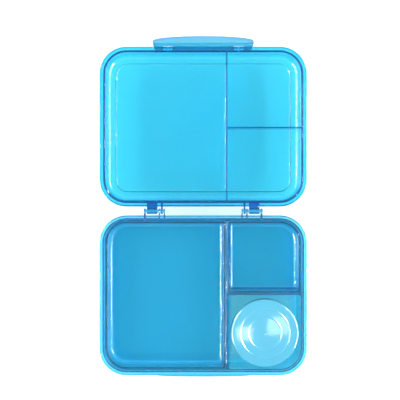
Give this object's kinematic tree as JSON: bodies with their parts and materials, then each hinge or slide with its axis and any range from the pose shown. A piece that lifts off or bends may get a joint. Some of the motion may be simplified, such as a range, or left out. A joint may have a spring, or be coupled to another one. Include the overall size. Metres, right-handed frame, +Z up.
{
  "type": "lunch box",
  "caption": "Translucent bento-style lunch box: hinged lid lying open, snap clip, divided base, lift-out food trays and a screw-lid yoghurt pot.",
  "frame": {"origin": "centre of the flat underside of the base", "axes": "+X to the right seen from the front, +Y to the back through the hinge and the open lid, +Z up"},
  "size_m": [0.214, 0.3486, 0.0658],
  "materials": {
    "base_plastic": "glossy translucent cyan polypropylene",
    "lid_plastic": "glossy translucent cyan polypropylene",
    "clip_plastic": "glossy, more opaque light cyan plastic",
    "tray_plastic": "glossy translucent cyan polypropylene, thin walled",
    "pot_plastic": "glossy translucent cyan polypropylene",
    "pot_lid_plastic": "glossy, more opaque cyan plastic",
    "seal_silicone": "soft milky silicone"
  },
  "bodies": {
    "base": {"base": "base_plastic"},
    "lid": {"lid": "lid_plastic"},
    "clip": {"clip": "clip_plastic"},
    "large_tray": {"large_tray": "tray_plastic"},
    "small_tray": {"small_tray": "tray_plastic"},
    "pot": {"pot": "pot_plastic"},
    "pot_seal": {"pot_seal": "seal_silicone"},
    "pot_lid": {"pot_lid": "pot_lid_plastic"}
  },
  "joints": [
    {"name": "lid_hinge", "type": "hinge", "parent": "base", "child": "lid", "pos_m": [0, 0.087, 0.05015], "axis": [-1, 0, 0], "range_deg": [-180, 0]},
    {"name": "clip_pivot", "type": "hinge", "parent": "lid", "child": "clip", "pos_m": [0, 0.255, 0.0453], "axis": [-1, 0, 0], "range_deg": [-5.5, 85]},
    {"name": "large_tray_lift", "type": "slide", "parent": "base", "child": "large_tray", "axis": [0, 0, 1], "range_m": [0, 0.09]},
    {"name": "small_tray_lift", "type": "slide", "parent": "base", "child": "small_tray", "axis": [0, 0, 1], "range_m": [0, 0.09]},
    {"name": "pot_lift", "type": "slide", "parent": "base", "child": "pot", "axis": [0, 0, 1], "range_m": [0, 0.09]},
    {"name": "pot_lid_lift", "type": "slide", "parent": "pot", "child": "pot_seal", "axis": [0, 0, 1], "range_m": [0, 0.04]},
    {"name": "pot_lid_turn", "type": "hinge", "parent": "pot_seal", "child": "pot_lid", "pos_m": [0.064, -0.0395, 0.0455], "axis": [0, 0, 1], "range_deg": [0, 120]}
  ]
}
